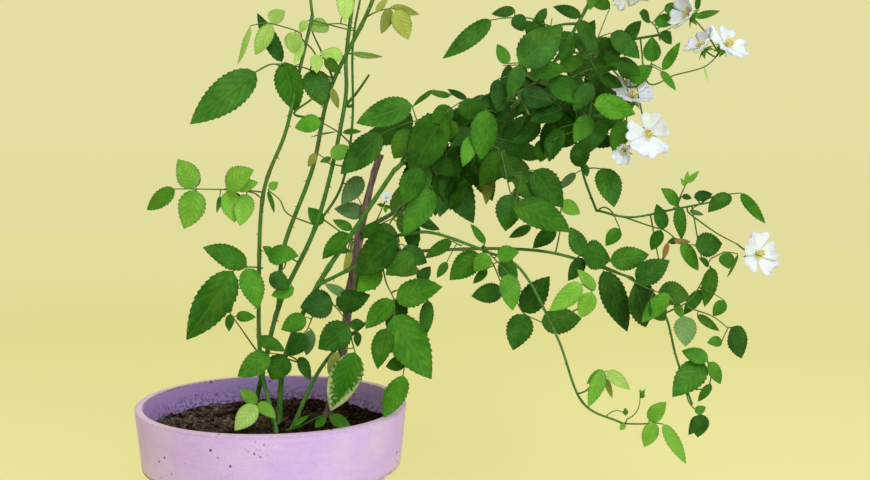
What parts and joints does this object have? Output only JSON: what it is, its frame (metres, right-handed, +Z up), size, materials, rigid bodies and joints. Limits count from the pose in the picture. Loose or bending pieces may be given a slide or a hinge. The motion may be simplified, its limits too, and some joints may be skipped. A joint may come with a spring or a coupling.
{
  "type": "potted rose bush",
  "caption": "Young rose bush with slender arching canes, toothed pinnate leaves and small white blossom, growing from soil in a painted clay pot with a collared rim.",
  "frame": {"origin": "centre of the pot's flat underside", "axes": "+Z up along the pot's axis, -Y towards the side the picture was taken from, +X to its right"},
  "size_m": [0.513, 0.2793, 0.658],
  "materials": {
    "pot": "matt paint on fired clay",
    "soil": "damp and crumbly",
    "green_bark": "smooth green bark",
    "old_bark": "rough grey-brown bark",
    "leaves": "satin leaf"
  },
  "bodies": {
    "root": {"arch_end_leaves": "leaves", "arch_leaves": "leaves", "blossom": "leaves", "blossom_low": "leaves", "bough_arch": "green_bark", "bough_arch_end": "green_bark", "bough_drop": "green_bark", "bough_drop_end": "green_bark", "bough_front": "green_bark", "bough_heart": "green_bark", "bright_leaves": "leaves", "broad_leaf": "leaves", "cane_left": "green_bark", "cane_low": "green_bark", "cane_middle": "green_bark", "cane_right": "green_bark", "cane_right_end": "green_bark", "cane_tall": "green_bark", "cane_thin": "green_bark", "centre_leaves": "leaves", "drooping_leaf": "leaves", "drop_leaf": "leaves", "drop_leaves": "leaves", "drop_tip": "leaves", "fall_leaves": "leaves", "fall_tip": "leaves", "fan_leaf": "leaves", "fork_leaves": "leaves", "front_leaves": "leaves", "hanging_pair": "leaves", "hanging_tip": "leaves", "hanging_tuft": "leaves", "heart_back": "leaves", "heart_back_high": "leaves", "heart_front": "leaves", "heart_leaf": "leaves", "heart_left": "leaves", "heart_low": "leaves", "heart_middle": "leaves", "heart_right": "leaves", "inner_leaves": "leaves", "left_back": "leaves", "left_top": "leaves", "long_leaf": "leaves", "low_back": "leaves", "middle_top": "leaves", "old_wood": "old_bark", "olive_leaf": "leaves", "pale_tipped_leaf": "leaves", "pot": "pot", "right_high": "leaves", "right_top": "leaves", "round_leaf": "leaves", "shoot_hanging": "green_bark", "small_leaf": "leaves", "soil": "soil", "sprout": "leaves", "tall_top": "leaves", "thin_leaves": "leaves", "wing_leaves": "leaves"}
  },
  "joints": []
}
